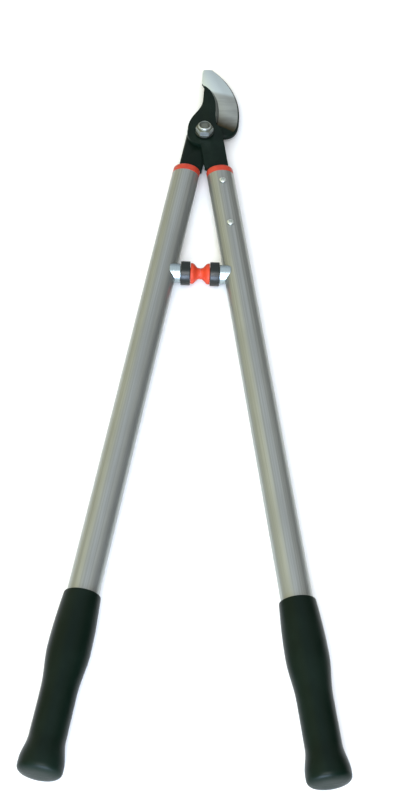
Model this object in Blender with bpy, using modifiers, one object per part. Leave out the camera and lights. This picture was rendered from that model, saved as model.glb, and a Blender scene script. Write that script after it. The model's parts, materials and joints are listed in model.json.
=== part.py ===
"""Bypass lopper with oval aluminium handles, closed and lying flat: metres, +Z up, jaws towards +Y.

The hook belongs to the left handle and the blade to the right one. The left handle's pieces are
the right one's, turned over. Everything is measured from the pivot until the finished tool is
stood on its origin, the middle of its footprint.
"""

import math

import bmesh
import bpy
from mathutils import Matrix, Vector
from mathutils.geometry import interpolate_bezier

CLEARANCE = 0.0003  # gap between pieces that seat on each other

# Hook in the closed pose, from the pivot
HOOK_REACH = 0.1122
HOOK_LIP_SIDE = 0.0044  # the lip stands this far left of the pivot
HOOK_TIP_WIDTH = 0.0127
HOOK_TIP_CORNER = 0.0025
HOOK_LIP_LENGTH = 0.0228  # straight lip below the tip's corner, before the hollow shearing edge
HOOK_HOLLOW = 0.0065
HOOK_MOUTH_ANGLE = 61.0  # degrees on the boss where the shearing edge starts
HOOK_BACK_OUT = 0.0395
HOOK_BACK_UP = 0.036
HOOK_BACK_BULGE = 0.0083
HOOK_FOOT_BEND = (0.62, 0.5)  # pull of the foot's curve at the back and at the heel
HOOK_HEEL_ANGLE = 1.0  # degrees on the boss where the heel ends
HOOK_THICKNESS = 0.007
HOOK_RIM = 0.0018  # chamfer round the hook
HOOK_RELIEF = 0.005  # the back of the shearing edge is ground away this far in
HOOK_EDGE_HEIGHT = 0.003

# Blade in the closed pose, from the pivot
BLADE_REACH = 0.082
BLADE_TIP_SIDE = 0.0015
BLADE_TIP_BEND = (0.0175, -0.012)  # pull of the cutting edge's curve at the tip
BLADE_HEEL_BEND = (0.0055, 0.027)
BLADE_HEEL_ANGLE = 48.0  # degrees on the boss where the cutting edge ends
BLADE_SPINE_STRAIGHT = 0.0275  # length of the straight back below the tip
BLADE_SPINE_LEAN = 0.0012
BLADE_SHOULDER_UP = 0.004
BLADE_THICKNESS = 0.005
BLADE_GRIND = 0.0034
BLADE_LAND = 0.0004  # height of the cutting edge itself

# Pivot
BOSS_RADIUS = 0.0195
PIVOT_DIAMETER = 0.010
BUSH_WALL = 0.0015
WASHER_DIAMETER = 0.0205
WASHER_THICKNESS = 0.002
NUT_ACROSS_FLATS = 0.017
NUT_HEX_HEIGHT = 0.0065
NUT_COLLAR_HEIGHT = 0.003
NUT_COLLAR_DIAMETER = 0.0138
HEX_FACE = 0.94  # the round face of a hexagon's end, as a share of its width across flats
HEX_CHAMFER_ANGLE = 30.0
BOLT_RECESS = 0.001  # the bolt ends this far inside the nut

# Palms and tangs, from the handle's axis and from the pivot along it
AXIS_OFFSET = 0.0099  # the handle's axis passes the pivot at this distance
PALM_OUTER = 0.0102
PALM_INNER = 0.0161
PALM_CORNER = 0.002
COLLAR_DISTANCE = 0.0564
TANG_WIDTH = 0.016
TANG_TAIL = 0.009  # the tang goes on this far past its last screw
TANG_POINT = 0.004

# Tubes and collars
TUBE_WIDTH = 0.030
TUBE_HEIGHT = 0.022
TUBE_WALL = 0.0015
TUBE_LENGTH = 0.7093
COLLAR_HEIGHT = 0.0095
COLLAR_ROUNDING = 0.003
SLEEVE_TAIL = 0.006  # the collar's sleeve goes on past the tang
TANG_SCREW_SETBACK = 0.0162  # from the tube's upper end
TANG_SCREW_PITCH = 0.0633
TANG_SCREW_DIAMETER = 0.0045
TANG_SCREW_HEAD_DIAMETER = 0.0075
TANG_SCREW_HEAD_HEIGHT = 0.0022
TANG_SCREW_HEAD_RIM = 0.0008
TANG_SCREW_TIP = 0.003  # how far the screw goes on past the tang

# Bumpers
BUMPER_DISTANCE = 0.2092  # from the pivot along the handle
BUMPER_TIP_LENGTH = 0.010
BUMPER_FACE_DIAMETER = 0.0118
BUMPER_BASE_DIAMETER = 0.022
BUMPER_NOSE_LENGTH = 0.0014  # straight, before the tip's flank swings out
BUMPER_FOOT_LENGTH = 0.0018  # straight, at the holder
HOLDER_DIAMETER = 0.0255
HOLDER_LENGTH = 0.010
HOLDER_BORE_DIAMETER = 0.013
HOLDER_FLOOR = 0.003
HOLDER_EDGE = 0.0008
SEAT_DIAMETER = 0.0205
SEAT_LENGTH = 0.0043
SEAT_REACH = 0.007  # how far the seat's lips reach over the tube's side
BUMPER_SCREW_DIAMETER = 0.005
BUMPER_SCREW_HEAD_DIAMETER = 0.009
BUMPER_SCREW_HEAD_HEIGHT = 0.0035
BUMPER_NUT_DIAMETER = 0.009
BUMPER_NUT_LENGTH = 0.006

# Grips: how far they stand out from the tube at its sides and at its front and back
GRIP_LENGTH = 0.1785
GRIP_END_WALL = 0.012
GRIP_MOUTH_WALL = (0.0023, 0.0023)
GRIP_SWELL_WALL = (0.0049, 0.0052)
GRIP_WAIST_WALL = (0.0015, 0.0028)
GRIP_FLARE_WALL = (0.0053, 0.0060)
GRIP_SWELL_DISTANCE = 0.056  # from the grip's mouth
GRIP_WAIST_DISTANCES = (0.099, 0.143)  # the waist's two ends, from the grip's mouth
GRIP_END_ROUNDING = 0.010  # the grip is widest this far from its end
GRIP_END_FULLNESS = 4.0  # exponent of the rounded end
GRIP_LIP = 0.001

OVAL_POINTS = 36
ROUND_STEPS = 32
SMALL_STEPS = 16
CURVE_STEPS = 14
GRIND_RUN_OUT = 5  # steps of the cutting edge over which the grind fades out at its heel
BOSS_STEP = 7.5  # degrees between outline points on the boss
TIP_STEPS = 3
DOME_STEPS = 4
CORNER_STEPS = 3  # rings of the collar's rounded top
GRIP_STEPS = 5  # rings from one station of the grip to the next
GRIP_END_STEPS = 7
END_RING_ANGLE = 87.0  # degrees round the grip's end to its last ring
FLARE_STEPS = 6  # rings of the bumper tip's flank
MERGE = 0.00001
SHARP_ANGLE = 35.0
STRAIGHT_ON = 0.12  # sine of the outline's turn below which a point is no corner
CUTTER_REACH = 0.002  # how far a cutter runs past what it cuts

# What follows from the sizes above
BLADE_BOTTOM = CLEARANCE / 2
BLADE_TOP = BLADE_BOTTOM + BLADE_THICKNESS
HOOK_TOP = -CLEARANCE / 2
HOOK_BOTTOM = HOOK_TOP - HOOK_THICKNESS
PIVOT_RADIUS = PIVOT_DIAMETER / 2
BUSH_RADIUS = PIVOT_RADIUS + CLEARANCE + BUSH_WALL
NUT_BOTTOM = BLADE_TOP + WASHER_THICKNESS + 2 * CLEARANCE
NUT_TOP = NUT_BOTTOM + NUT_HEX_HEIGHT + NUT_COLLAR_HEIGHT
BOLT_SEAT = HOOK_BOTTOM - WASHER_THICKNESS - 2 * CLEARANCE
BOLT_HEAD_END = -TUBE_HEIGHT / 2 - GRIP_FLARE_WALL[1]  # on the plane that the grips lie on
PALM_END = COLLAR_DISTANCE - CLEARANCE
TUBE_SIZE = (TUBE_WIDTH, TUBE_HEIGHT)
TUBE_TOP = COLLAR_DISTANCE + COLLAR_HEIGHT + CLEARANCE
TUBE_END = TUBE_TOP + TUBE_LENGTH
TANG_SCREWS = (TUBE_TOP + TANG_SCREW_SETBACK, TUBE_TOP + TANG_SCREW_SETBACK + TANG_SCREW_PITCH)
TANG_SCREW_HOLE = TANG_SCREW_DIAMETER / 2 + CLEARANCE
TANG_SCREW_END = BLADE_BOTTOM - TANG_SCREW_TIP
TANG_END = TANG_SCREWS[-1] + TANG_TAIL
SLEEVE_END = TANG_END + SLEEVE_TAIL
SLEEVE_SIZE = [size - 2 * (TUBE_WALL + CLEARANCE) for size in TUBE_SIZE]
GRIP_END = TUBE_END + CLEARANCE + GRIP_END_WALL
GRIP_START = GRIP_END - GRIP_LENGTH
TIP_FACE = CLEARANCE / 2
HOLDER_FACE = TIP_FACE + BUMPER_TIP_LENGTH + CLEARANCE
SEAT_FACE = HOLDER_FACE + HOLDER_LENGTH + CLEARANCE
TUBE_FLANK = SEAT_FACE + SEAT_LENGTH + CLEARANCE
BUMPER_HEAD_SEAT = HOLDER_FACE + HOLDER_LENGTH - HOLDER_FLOOR - CLEARANCE
BUMPER_HEAD_TOP = BUMPER_HEAD_SEAT - BUMPER_SCREW_HEAD_HEIGHT
BUMPER_SCREW_RADIUS = BUMPER_SCREW_DIAMETER / 2
BUMPER_SCREW_HOLE = BUMPER_SCREW_RADIUS + CLEARANCE


def closed_angle():
    """Angle of a handle to the middle plane when the two bumpers meet there."""
    across = AXIS_OFFSET - TUBE_WIDTH / 2
    reach = math.hypot(across, BUMPER_DISTANCE)
    return math.atan2(BUMPER_DISTANCE, across) - math.acos(TUBE_FLANK / reach)


def nut_face():
    """Where the bumper's flat nut meets the tube's hollow inner side."""
    radius = BUMPER_NUT_DIAMETER / 2
    hollow = TUBE_WIDTH / 2 - TUBE_WALL
    drop = math.sqrt(1 - (radius / (TUBE_HEIGHT / 2 - TUBE_WALL)) ** 2)
    inward = (TUBE_WIDTH / 2 - hollow * drop) / math.cos(HANDLE_ANGLE)
    return TUBE_FLANK + inward + radius * math.tan(HANDLE_ANGLE) + CLEARANCE


HANDLE_ANGLE = closed_angle()
BUMPER_NUT_FACE = nut_face()
TURNED_OVER = Matrix.Rotation(math.pi, 4, "Y")
ALONG_HANDLE = Matrix.Rotation(HANDLE_ANGLE, 4, "Z")
BUMPER_Y = (ALONG_HANDLE @ Vector((AXIS_OFFSET - TUBE_WIDTH / 2, -BUMPER_DISTANCE, 0))).y
ON_BUMPER = Matrix.Translation((0, BUMPER_Y, 0)) @ Matrix.Rotation(math.pi / 2, 4, "Y")


def clear_scene():
    for obj in list(bpy.data.objects):
        bpy.data.objects.remove(obj, do_unlink=True)


def collection(name, hidden=False):
    made = bpy.data.collections.new(name)
    made.hide_render = hidden
    bpy.context.scene.collection.children.link(made)
    return made


def material(name, colour, roughness, metallic=0.0):
    made = bpy.data.materials.new(name)
    made.use_nodes = True
    shader = made.node_tree.nodes["Principled BSDF"]
    shader.inputs["Base Color"].default_value = (*colour, 1)
    shader.inputs["Roughness"].default_value = roughness
    shader.inputs["Metallic"].default_value = metallic
    return made


clear_scene()
PARTS = collection("lopper")
CUTTERS = collection("cutters", hidden=True)
BLACK_COATING = material("black_coating", (0.012, 0.017, 0.015), 0.4)
COATED_FORGING = material("coated_forging", (0.35, 0.37, 0.36), 0.3, 1.0)
ZINC_PLATE = material("zinc_plate", (0.60, 0.62, 0.60), 0.35, 1.0)
BRONZE = material("bronze", (0.45, 0.29, 0.12), 0.4, 1.0)
ANODISED = material("anodised_aluminium", (0.50, 0.52, 0.50), 0.42, 1.0)
RED_PLASTIC = material("red_plastic", (0.72, 0.07, 0.04), 0.4)
RED_RUBBER = material("red_rubber", (0.70, 0.06, 0.03), 0.6)
BLACK_PLASTIC = material("black_plastic", (0.015, 0.018, 0.018), 0.45)
GRIP_RUBBER = material("grip_rubber", (0.013, 0.017, 0.015), 0.6)


def arc(centre, radius, start, end, steps):
    """Points of an arc between two angles in degrees, both ends included."""
    angles = [math.radians(start + (end - start) * i / steps) for i in range(steps + 1)]
    return [Vector((centre[0] + radius * math.cos(a), centre[1] + radius * math.sin(a))) for a in angles]


def bowed(start, end, bow, steps):
    """Points of the arc from start to end that stands out by bow to the right of the way there."""
    chord = end - start
    right = Vector((chord.y, -chord.x)).normalized()
    radius = (chord.length**2 / 4 + bow**2) / (2 * bow)
    centre = (start + end) / 2 + right * (bow - radius)
    first = math.degrees(math.atan2(start.y - centre.y, start.x - centre.x))
    turn = 4 * math.degrees(math.atan(2 * bow / chord.length))
    return arc(centre, radius, first, first + turn, steps)


def swept_curve(start, start_handle, end_handle, end, steps):
    """Points of a Bezier curve, both ends included."""
    knots = [point.to_3d() for point in (start, start_handle, end_handle, end)]
    return [point.xy for point in interpolate_bezier(*knots, steps + 1)]


def on_boss(angle):
    return Vector((math.cos(math.radians(angle)), math.sin(math.radians(angle)))) * BOSS_RADIUS


def boss_between(start, end):
    """Points on the boss from one outline point to the next, clockwise, without the two."""
    first, last = (math.degrees(math.atan2(p.y, p.x)) for p in (start, end))
    last -= 360 * (last > first)
    steps = max(2, round((first - last) / BOSS_STEP))
    return arc((0, 0), BOSS_RADIUS, first, last, steps)[1:-1]


def mirrored(points):
    return [Vector((-p.x, p.y)) for p in reversed(points)]


def tang_outline():
    """Palm and tang of the blade, clockwise from the boss's outer side to its inner side."""
    outer = AXIS_OFFSET + PALM_OUTER
    inner = AXIS_OFFSET - PALM_INNER
    right = AXIS_OFFSET + TANG_WIDTH / 2
    left = AXIS_OFFSET - TANG_WIDTH / 2
    places = [
        (outer, -math.sqrt(max(BOSS_RADIUS**2 - outer**2, 0)) - CLEARANCE),
        (outer, PALM_CORNER - PALM_END),
        (outer - PALM_CORNER, -PALM_END),
        (right, -PALM_END),
        (right, TANG_POINT - TANG_END),
        (right - TANG_POINT, -TANG_END),
        (left + TANG_POINT, -TANG_END),
        (left, TANG_POINT - TANG_END),
        (left, -PALM_END),
        (inner + PALM_CORNER, -PALM_END),
        (inner, PALM_CORNER - PALM_END),
        (inner, -math.sqrt(max(BOSS_RADIUS**2 - inner**2, 0))),
    ]
    return [(ALONG_HANDLE @ Vector((across, along, 0))).xy for across, along in places]


def blade_outline():
    """The blade's outline, clockwise from its tip, and how many of its first edges cut."""
    tip = Vector((-BLADE_TIP_SIDE, BLADE_REACH))
    heel = on_boss(BLADE_HEEL_ANGLE)
    edge = swept_curve(
        tip, tip + Vector(BLADE_TIP_BEND), heel + Vector(BLADE_HEEL_BEND), heel, 2 * CURVE_STEPS
    )
    tang = tang_outline()
    shoulder = Vector((-math.sqrt(BOSS_RADIUS**2 - BLADE_SHOULDER_UP**2), BLADE_SHOULDER_UP))
    spine_end = tip - Vector((BLADE_SPINE_LEAN, BLADE_SPINE_STRAIGHT))
    sweep = Vector((0, (spine_end.y - shoulder.y) / 2))
    spine = swept_curve(shoulder, shoulder + sweep, spine_end - sweep * 0.8, spine_end, CURVE_STEPS)
    points = edge + boss_between(heel, tang[0]) + tang + boss_between(tang[-1], shoulder) + spine
    return points, len(edge) - 1


def hook_outline():
    """The hook's outline, clockwise from the lip's top, and how many of its last edges shear."""
    corner = Vector((HOOK_TIP_CORNER - HOOK_LIP_SIDE, HOOK_REACH - HOOK_TIP_CORNER))
    lip = corner - Vector((HOOK_TIP_CORNER, HOOK_LIP_LENGTH))
    across = Vector((HOOK_TIP_WIDTH - 2 * HOOK_TIP_CORNER, 0))
    head = arc(corner, HOOK_TIP_CORNER, 180, 90, TIP_STEPS)
    head += arc(corner + across, HOOK_TIP_CORNER, 90, 45, TIP_STEPS)
    back = Vector((HOOK_BACK_OUT, HOOK_BACK_UP))
    outer = bowed(back, head[-1], HOOK_BACK_BULGE, CURVE_STEPS)[::-1]
    heel = on_boss(HOOK_HEEL_ANGLE)
    bends = [Vector((0, -1)), Vector((1, 0))]
    bends = [bend * share * (back.y - heel.y) for bend, share in zip(bends, HOOK_FOOT_BEND)]
    foot = swept_curve(back, back + bends[0], heel + bends[1], heel, CURVE_STEPS)
    tang = mirrored(tang_outline())
    mouth = bowed(on_boss(HOOK_MOUTH_ANGLE), lip, HOOK_HOLLOW, CURVE_STEPS)
    points = head + outer[1:] + foot[1:] + boss_between(heel, tang[0]) + tang
    points += boss_between(tang[-1], mouth[0]) + mouth
    return points, len(mouth)


def offset_outline(points, insets):
    """A clockwise outline with each edge, from its point to the next, moved in by its inset."""
    moved = []
    for i, point in enumerate(points):
        before = (point - points[i - 1]).normalized()
        after = (points[(i + 1) % len(points)] - point).normalized()
        inward = Vector((before.y + after.y, -before.x - after.x)).normalized()
        turn = before.x * after.y - before.y * after.x
        if abs(turn) < STRAIGHT_ON:
            moved.append(point + inward * (insets[i - 1] + insets[i]) / 2)
        else:
            moved.append(point + (before * insets[i] - after * insets[i - 1]) / turn)
    return moved


def finished(name, shape, look):
    """The object of a bmesh, with its faces turned outwards and its round sides smooth."""
    bmesh.ops.recalc_face_normals(shape, faces=shape.faces)
    mesh = bpy.data.meshes.new(name)
    shape.to_mesh(mesh)
    shape.free()
    mesh.shade_smooth()
    mesh.set_sharp_from_angle(angle=math.radians(SHARP_ANGLE))
    if look:
        mesh.materials.append(look)
    made = bpy.data.objects.new(name, mesh)
    PARTS.objects.link(made)
    return made


def lofted(name, rings, look, closed=True):
    """A surface through rings of as many points each, closed at both ends into a solid."""
    shape = bmesh.new()
    loops = [[shape.verts.new(point) for point in ring] for ring in rings]
    if closed:
        shape.faces.new(loops[0])
        shape.faces.new(loops[-1])
    for near, far in zip(loops, loops[1:]):
        for i in range(len(near)):
            shape.faces.new((near[i - 1], near[i], far[i], far[i - 1]))
    return finished(name, shape, look)


def plate(name, levels, look):
    """A solid through flat outlines, given as (height, points) from the bottom up."""
    return lofted(name, [[(p.x, p.y, height) for p in points] for height, points in levels], look)


def oval_solid(name, stations, look=None, closed=True):
    """A solid along the handle through oval rings, given as (distance, width, height)."""
    rings = []
    for distance, width, height in stations:
        ring = []
        for step in range(OVAL_POINTS):
            angle = 2 * math.pi * step / OVAL_POINTS
            across = AXIS_OFFSET + width / 2 * math.cos(angle)
            ring.append((across, -distance, height / 2 * math.sin(angle)))
        rings.append(ring)
    return lofted(name, rings, look, closed)


def round_bar(name, radius, low, high, steps=SMALL_STEPS):
    """A cylinder about Z between two heights."""
    shape = bmesh.new()
    bmesh.ops.create_cone(
        shape,
        cap_ends=True,
        segments=steps,
        radius1=radius,
        radius2=radius,
        depth=high - low,
        matrix=Matrix.Translation((0, 0, (low + high) / 2)),
    )
    return finished(name, shape, None)


def box(name, low, high):
    """A box between two corners."""
    size = Vector(high) - Vector(low)
    shape = bmesh.new()
    bmesh.ops.create_cube(
        shape, size=1, matrix=Matrix.Translation(Vector(low) + size / 2) @ Matrix.Diagonal((*size, 1))
    )
    return finished(name, shape, None)


def turned(name, profile, look, steps=ROUND_STEPS, ring=False):
    """A solid turned about Z from (radius, height) points. A ring's profile closes on itself."""
    mesh = bpy.data.meshes.new(name)
    count = len(profile)
    edges = [(i, (i + 1) % count) for i in range(count if ring else count - 1)]
    mesh.from_pydata([(radius, 0, height) for radius, height in profile], edges, [])
    drawn = bpy.data.objects.new(name, mesh)
    PARTS.objects.link(drawn)
    screw = drawn.modifiers.new("turn", "SCREW")
    screw.steps = screw.render_steps = steps
    screw.use_merge_vertices = True
    screw.merge_threshold = MERGE
    shape = bmesh.new()
    shape.from_mesh(evaluated_mesh(drawn))
    bpy.data.objects.remove(drawn)
    return finished(name, shape, look)


def evaluated_mesh(obj):
    bpy.context.view_layer.update()
    return bpy.data.meshes.new_from_object(obj.evaluated_get(bpy.context.evaluated_depsgraph_get()))


def combine(obj, other, operation, place):
    """Adds a Boolean to the object. The other one becomes a guide that goes with it."""
    PARTS.objects.unlink(other)
    CUTTERS.objects.link(other)
    other.hide_render = True
    other.display_type = "WIRE"
    other.parent = obj
    other.matrix_local = place
    step = obj.modifiers.new(other.name, "BOOLEAN")
    step.operation = operation
    step.object = other
    return obj


def cut(obj, cutter, place=Matrix()):
    return combine(obj, cutter, "DIFFERENCE", place)


def join(obj, other):
    return combine(obj, other, "UNION", Matrix())


def empty(name, parent=None):
    made = bpy.data.objects.new(name, None)
    made.empty_display_size = BOSS_RADIUS
    made.parent = parent
    PARTS.objects.link(made)
    return made


def tang_screw_place(distance):
    return Matrix.Translation((AXIS_OFFSET, -distance, 0))


def drill_tang(piece, side, place):
    """Cuts the holes of the tang's screws."""
    for number, distance in enumerate(TANG_SCREWS, 1):
        name = f"{side}_tang_hole_{number}"
        hole = round_bar(name, TANG_SCREW_HOLE, -CUTTER_REACH, BLADE_TOP + CUTTER_REACH)
        cut(piece, hole, place @ tang_screw_place(distance))
    return piece


def cutting_blade():
    """The blade with its convex ground edge, its palm and its tang."""
    points, cutting = blade_outline()
    ground = [BLADE_GRIND * min(1, (cutting - i - 0.5) / GRIND_RUN_OUT) for i in range(cutting)]
    levels = [
        (BLADE_BOTTOM, points),
        (BLADE_BOTTOM + BLADE_LAND, points),
        (BLADE_TOP, offset_outline(points, ground + [0.0] * (len(points) - cutting))),
    ]
    blade = plate("cutting_blade", levels, BLACK_COATING)
    hole = round_bar(
        "blade_hole", BUSH_RADIUS + CLEARANCE, -CUTTER_REACH, BLADE_TOP + CUTTER_REACH, ROUND_STEPS
    )
    cut(blade, hole)
    return drill_tang(blade, "blade", ALONG_HANDLE)


def counter_blade():
    """The forged hook with its rim, the relief behind its shearing edge, its palm and its tang."""
    points, shearing = hook_outline()
    rest = len(points) - shearing
    hollow = [HOOK_RELIEF * math.sin(math.pi * (i + 0.5) / shearing) for i in range(shearing)]
    relief = [0.0] * rest + hollow
    levels = [
        (HOOK_BOTTOM, offset_outline(points, [max(HOOK_RIM, inset) for inset in relief])),
        (HOOK_BOTTOM + HOOK_RIM, offset_outline(points, relief)),
        (HOOK_TOP - HOOK_EDGE_HEIGHT, points),
        (HOOK_TOP - HOOK_RIM, points),
        (HOOK_TOP, offset_outline(points, [HOOK_RIM] * rest + [0.0] * shearing)),
    ]
    hook = plate("counter_blade", levels, COATED_FORGING)
    hole = round_bar(
        "hook_hole", PIVOT_RADIUS + CLEARANCE, HOOK_BOTTOM - CUTTER_REACH, CUTTER_REACH, ROUND_STEPS
    )
    cut(hook, hole)
    side = TANG_WIDTH / 2 + CUTTER_REACH
    mill = box(
        "hook_tang_mill",
        (AXIS_OFFSET - side, -TANG_END - CUTTER_REACH, BLADE_TOP),
        (AXIS_OFFSET + side, -PALM_END, BLADE_TOP + HOOK_THICKNESS),
    )
    cut(hook, mill, TURNED_OVER @ ALONG_HANDLE)
    return drill_tang(hook, "hook", TURNED_OVER @ ALONG_HANDLE)


def washer(name, low):
    inner, outer = PIVOT_RADIUS + CLEARANCE, WASHER_DIAMETER / 2
    high = low + WASHER_THICKNESS
    profile = [(outer, high), (outer, low), (inner, low), (inner, high)]
    return turned(name, profile, ZINC_PLATE, ring=True)


def pivot_bush():
    """The bearing ring that the blade turns on."""
    inner, outer = PIVOT_RADIUS + CLEARANCE, BUSH_RADIUS
    profile = [(outer, BLADE_TOP), (outer, BLADE_BOTTOM), (inner, BLADE_BOTTOM), (inner, BLADE_TOP)]
    return turned("pivot_bush", profile, BRONZE, ring=True)


def hexagon(name, seat, end):
    """A hexagon head with a flat towards the handles. Its corners are turned off at the end."""
    corner = NUT_ACROSS_FLATS / math.sqrt(3)
    points = arc((0, 0), corner, 300, 0, 5)
    head = plate(name, [(height, points) for height in sorted((seat, end))], ZINC_PLATE)
    face = HEX_FACE * NUT_ACROSS_FLATS / 2
    rim = corner + CUTTER_REACH
    drop = (rim - face) * math.tan(math.radians(HEX_CHAMFER_ANGLE)) * math.copysign(1, end - seat)
    below = seat - math.copysign(CUTTER_REACH, end - seat)
    profile = [(0, end), (face, end), (rim, end - drop), (rim, below), (0, below)]
    return combine(head, turned(f"{name}_turning", profile, None), "INTERSECT", Matrix())


def pivot_bolt():
    """The bolt, with its hexagon head behind the hook."""
    bolt = hexagon("pivot_bolt", BOLT_SEAT, BOLT_HEAD_END)
    inside = (BOLT_SEAT + BOLT_HEAD_END) / 2
    shank = round_bar("bolt_shank", PIVOT_RADIUS, inside, NUT_TOP - BOLT_RECESS, ROUND_STEPS)
    return join(bolt, shank)


def pivot_nut():
    """The locking nut: a hexagon with a round collar on top."""
    hex_top = NUT_BOTTOM + NUT_HEX_HEIGHT
    nut = hexagon("pivot_nut", NUT_BOTTOM, hex_top)
    collar = round_bar(
        "nut_collar", NUT_COLLAR_DIAMETER / 2, hex_top - NUT_HEX_HEIGHT / 2, NUT_TOP, ROUND_STEPS
    )
    bore = round_bar(
        "nut_bore", PIVOT_RADIUS + CLEARANCE, NUT_BOTTOM - CUTTER_REACH, NUT_TOP + CUTTER_REACH, ROUND_STEPS
    )
    return cut(join(nut, collar), bore)


def tube():
    """The oval tube: an open surface with a wall inside it, and the holes of its screws."""
    ends = (TUBE_TOP, TUBE_END)
    made = oval_solid("tube", [(distance, *TUBE_SIZE) for distance in ends], ANODISED, closed=False)
    wall = made.modifiers.new("wall", "SOLIDIFY")
    wall.thickness = TUBE_WALL
    wall.offset = -1
    wall.use_even_offset = True
    for number, distance in enumerate(TANG_SCREWS, 1):
        hole = round_bar(f"tube_hole_{number}", TANG_SCREW_HOLE, 0, TUBE_HEIGHT)
        cut(made, hole, tang_screw_place(distance))
    bumper_hole = round_bar("tube_bumper_hole", BUMPER_SCREW_HOLE, SEAT_FACE, TUBE_FLANK + TUBE_WIDTH / 2)
    return cut(made, bumper_hole, ALONG_HANDLE.inverted() @ ON_BUMPER)


def collar():
    """The red end piece of a tube. Its sleeve holds the tang inside the tube."""
    stations = []
    for step in range(CORNER_STEPS + 1):
        angle = math.pi / 2 * step / CORNER_STEPS
        back = COLLAR_ROUNDING * (1 - math.sin(angle))
        distance = COLLAR_DISTANCE + COLLAR_ROUNDING * (1 - math.cos(angle))
        stations.append((distance, TUBE_WIDTH - 2 * back, TUBE_HEIGHT - 2 * back))
    flange_end = COLLAR_DISTANCE + COLLAR_HEIGHT
    stations += [
        (flange_end, *TUBE_SIZE),
        (flange_end, *SLEEVE_SIZE),
        (SLEEVE_END, *SLEEVE_SIZE),
    ]
    made = oval_solid("collar", stations, RED_PLASTIC)
    half = TANG_WIDTH / 2 + CLEARANCE
    slot = box(
        "collar_slot",
        (AXIS_OFFSET - half, -SLEEVE_END - CUTTER_REACH, BLADE_BOTTOM - CLEARANCE),
        (AXIS_OFFSET + half, -COLLAR_DISTANCE + CUTTER_REACH, BLADE_TOP + CLEARANCE),
    )
    cut(made, slot)
    for number, distance in enumerate(TANG_SCREWS, 1):
        hole = round_bar(f"collar_hole_{number}", TANG_SCREW_HOLE, TANG_SCREW_END - CLEARANCE, TUBE_HEIGHT)
        cut(made, hole, tang_screw_place(distance))
    return made


def tang_screw(number):
    """A screw with a domed head on the tube and a shank through wall, sleeve and tang."""
    head, shank = TANG_SCREW_HEAD_DIAMETER / 2, TANG_SCREW_DIAMETER / 2
    seat = TUBE_HEIGHT / 2 + CLEARANCE
    rim = seat + TANG_SCREW_HEAD_RIM
    dome = TANG_SCREW_HEAD_HEIGHT - TANG_SCREW_HEAD_RIM
    angles = [math.pi / 2 * step / DOME_STEPS for step in range(DOME_STEPS + 1)]
    profile = [(head * math.sin(angle), rim + dome * math.cos(angle)) for angle in angles]
    profile += [(head, seat), (shank, seat), (shank, TANG_SCREW_END), (0, TANG_SCREW_END)]
    return turned(f"tang_screw_{number}", profile, ZINC_PLATE, SMALL_STEPS)


def bumper_tip():
    """The rubber tip: a nose that swings out to a foot, with a plug in the holder's bore."""
    face, base = BUMPER_FACE_DIAMETER / 2, BUMPER_BASE_DIAMETER / 2
    plug = HOLDER_BORE_DIAMETER / 2 - CLEARANCE
    base_at = TIP_FACE + BUMPER_TIP_LENGTH
    start, end = TIP_FACE + BUMPER_NOSE_LENGTH, base_at - BUMPER_FOOT_LENGTH
    profile = [(0, TIP_FACE), (face, TIP_FACE)]
    for step in range(FLARE_STEPS + 1):
        share = step / FLARE_STEPS
        swing = (1 - math.cos(math.pi * share)) / 2
        profile.append((face + (base - face) * swing, start + (end - start) * share))
    profile += [(base, base_at), (plug, base_at)]
    profile += [(plug, BUMPER_HEAD_TOP - CLEARANCE), (0, BUMPER_HEAD_TOP - CLEARANCE)]
    return turned("bumper_tip", profile, RED_RUBBER)


def bumper_holder():
    """The black cup that holds the tip and takes the screw's head."""
    outer, bore = HOLDER_DIAMETER / 2, HOLDER_BORE_DIAMETER / 2
    back = HOLDER_FACE + HOLDER_LENGTH
    floor = back - HOLDER_FLOOR
    profile = [
        (outer - HOLDER_EDGE, HOLDER_FACE),
        (outer, HOLDER_FACE + HOLDER_EDGE),
        (outer, back - HOLDER_EDGE),
        (outer - HOLDER_EDGE, back),
        (BUMPER_SCREW_HOLE, back),
        (BUMPER_SCREW_HOLE, floor),
        (bore, floor),
        (bore, HOLDER_FACE),
    ]
    return turned("bumper_holder", profile, BLACK_PLASTIC, ring=True)


def bumper_seat():
    """The metal seat between the holder and the tube, hollowed to sit on the tube's side."""
    outer = SEAT_DIAMETER / 2
    end = TUBE_FLANK + SEAT_REACH
    profile = [(outer, SEAT_FACE), (outer, end), (BUMPER_SCREW_HOLE, end), (BUMPER_SCREW_HOLE, SEAT_FACE)]
    seat = turned("bumper_seat", profile, ZINC_PLATE, ring=True)
    around = [size + 2 * CLEARANCE for size in TUBE_SIZE]
    ends = (BUMPER_DISTANCE - 2 * SEAT_DIAMETER, BUMPER_DISTANCE + 2 * SEAT_DIAMETER)
    saddle = oval_solid("seat_saddle", [(distance, *around) for distance in ends])
    return cut(seat, saddle, ON_BUMPER.inverted() @ ALONG_HANDLE)


def bumper_screw():
    head, shank = BUMPER_SCREW_HEAD_DIAMETER / 2, BUMPER_SCREW_RADIUS
    end = BUMPER_NUT_FACE + BUMPER_NUT_LENGTH
    profile = [
        (0, BUMPER_HEAD_TOP),
        (head, BUMPER_HEAD_TOP),
        (head, BUMPER_HEAD_SEAT),
        (shank, BUMPER_HEAD_SEAT),
        (shank, end),
        (0, end),
    ]
    return turned("bumper_screw", profile, ZINC_PLATE, SMALL_STEPS)


def bumper_nut():
    outer, end = BUMPER_NUT_DIAMETER / 2, BUMPER_NUT_FACE + BUMPER_NUT_LENGTH
    profile = [
        (outer, BUMPER_NUT_FACE),
        (outer, end),
        (BUMPER_SCREW_HOLE, end),
        (BUMPER_SCREW_HOLE, BUMPER_NUT_FACE),
    ]
    return turned("bumper_nut", profile, ZINC_PLATE, SMALL_STEPS, ring=True)


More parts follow.
